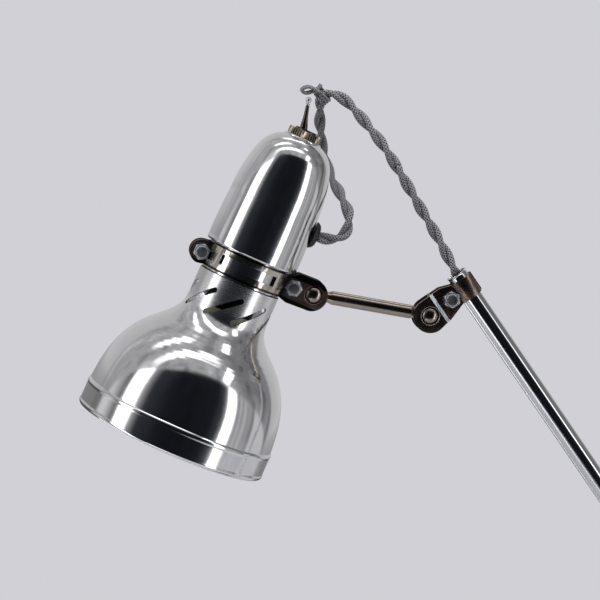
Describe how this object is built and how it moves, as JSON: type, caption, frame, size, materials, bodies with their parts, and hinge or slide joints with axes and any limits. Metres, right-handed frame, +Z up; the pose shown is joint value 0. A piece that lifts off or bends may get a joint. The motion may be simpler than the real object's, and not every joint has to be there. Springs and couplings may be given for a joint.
{
  "type": "architect desk lamp",
  "caption": "Adjustable desk lamp: round weighted base, two tube arms with clamped ball joints, a bell shade with a bullet housing and toggle switch, and a braided flex.",
  "frame": {"origin": "centre of the underside of the base, on the surface the lamp stands on", "axes": "+Z up; the arms fold in the XZ plane and the head is toward -X; the joints' nuts face -Y and the flex passes behind the housing toward +Y"},
  "size_m": [0.4162, 0.3115, 0.6938],
  "materials": {
    "head_aluminium": "polished, spun",
    "plate_nickel": "nickel plated, aged warm",
    "chromed_steel": "bright",
    "zinc_fasteners": "zinc plated",
    "ring_brass": "nickel plated, knurled",
    "holder_brass": "dull",
    "plug_brass": "satin",
    "bulb_cap_metal": "satin",
    "black_rubber": "matt",
    "grey_braid": "braided",
    "tie_twine": "twisted",
    "bulb_glass": "inside frosted",
    "black_moulding": "moulded",
    "base_iron": "as cast, painted",
    "base_paint": "satin stove enamel",
    "bush_plastic": "natural"
  },
  "bodies": {
    "base": {"base_cover": "base_paint", "base_weight": "base_iron", "base_pad": "black_rubber", "base_screws": "zinc_fasteners", "base_gland": "black_rubber", "swivel_bush": "bush_plastic", "base_inner_flex": "grey_braid", "mains_lead": "grey_braid", "mains_coil": "grey_braid", "mains_tail": "grey_braid", "plug_body": "black_moulding", "plug_pins": "plug_brass"},
    "post": {"post": "chromed_steel", "swivel_nut": "zinc_fasteners", "shoulder_plate_front": "plate_nickel", "shoulder_plate_rear": "plate_nickel", "shoulder_fasteners": "zinc_fasteners", "post_bush": "black_rubber", "shoulder_flex": "grey_braid"},
    "lower_arm": {"lower_tube": "chromed_steel", "lower_eye": "chromed_steel", "lower_bush": "black_rubber", "lower_grommet": "black_rubber", "lower_inner_flex": "grey_braid", "elbow_plate_front": "plate_nickel", "elbow_plate_rear": "plate_nickel", "elbow_fasteners": "zinc_fasteners", "elbow_flex": "grey_braid"},
    "upper_arm": {"upper_tube": "chromed_steel", "upper_eye": "chromed_steel", "upper_bush": "black_rubber", "upper_grommet": "black_rubber", "upper_inner_flex": "grey_braid", "wrist_plate_front": "plate_nickel", "wrist_plate_rear": "plate_nickel", "wrist_bolt": "zinc_fasteners", "wrist_nut": "zinc_fasteners", "head_flex_upper": "grey_braid"},
    "outer_ball": {"wrist_ball": "chromed_steel"},
    "link": {"link_rod": "chromed_steel", "head_flex_middle": "grey_braid", "tie_loop": "tie_twine"},
    "head": {"band_front": "plate_nickel", "band_rear": "plate_nickel", "band_bolts": "zinc_fasteners", "band_nuts": "zinc_fasteners", "neck_core": "head_aluminium", "shade": "head_aluminium", "housing": "head_aluminium", "head_grommet": "black_rubber", "ring_nut": "ring_brass", "holder_bridge": "zinc_fasteners", "bridge_screws": "zinc_fasteners", "lampholder": "holder_brass", "shade_ring": "black_moulding", "bulb_cap": "bulb_cap_metal", "bulb_glass": "bulb_glass", "switch_body": "black_moulding", "head_flex_lower": "grey_braid"},
    "toggle": {"toggle_lever": "chromed_steel"}
  },
  "joints": [
    {"name": "base_swivel", "type": "hinge", "parent": "base", "child": "post", "pos_m": [0, 0, 0.04], "axis": [0, 0, 1], "range_deg": [-160, 160]},
    {"name": "shoulder", "type": "hinge", "parent": "post", "child": "lower_arm", "pos_m": [0.0248, 0, 0.07], "axis": [0, 1, 0], "range_deg": [-30, 35], "deforming": ["shoulder_flex"]},
    {"name": "elbow", "type": "hinge", "parent": "lower_arm", "child": "upper_arm", "pos_m": [0.12476, 0, 0.34304], "axis": [0, 1, 0], "range_deg": [-45, 45], "deforming": ["elbow_flex"]},
    {"name": "link_swing", "type": "hinge", "parent": "upper_arm", "child": "outer_ball", "pos_m": [-0.05977, 0, 0.56774], "axis": [0, 1, 0], "range_deg": [-40, 30], "deforming": ["head_flex_upper"]},
    {"name": "link_twist", "type": "hinge", "parent": "outer_ball", "child": "link", "pos_m": [-0.05977, 0, 0.56774], "axis": [-0.9829, 0, 0.1839], "range_deg": [-30, 30], "deforming": ["head_flex_middle", "tie_loop"]},
    {"name": "head_tilt", "type": "hinge", "parent": "link", "child": "head", "pos_m": [-0.12317, 0, 0.57961], "axis": [0, 1, 0], "range_deg": [-45, 15], "deforming": ["head_flex_lower"]},
    {"name": "switch_toggle", "type": "hinge", "parent": "head", "child": "toggle", "pos_m": [-0.12975, 0, 0.66146], "axis": [0, 1, 0], "range_deg": [0, 27.6]}
  ]
}
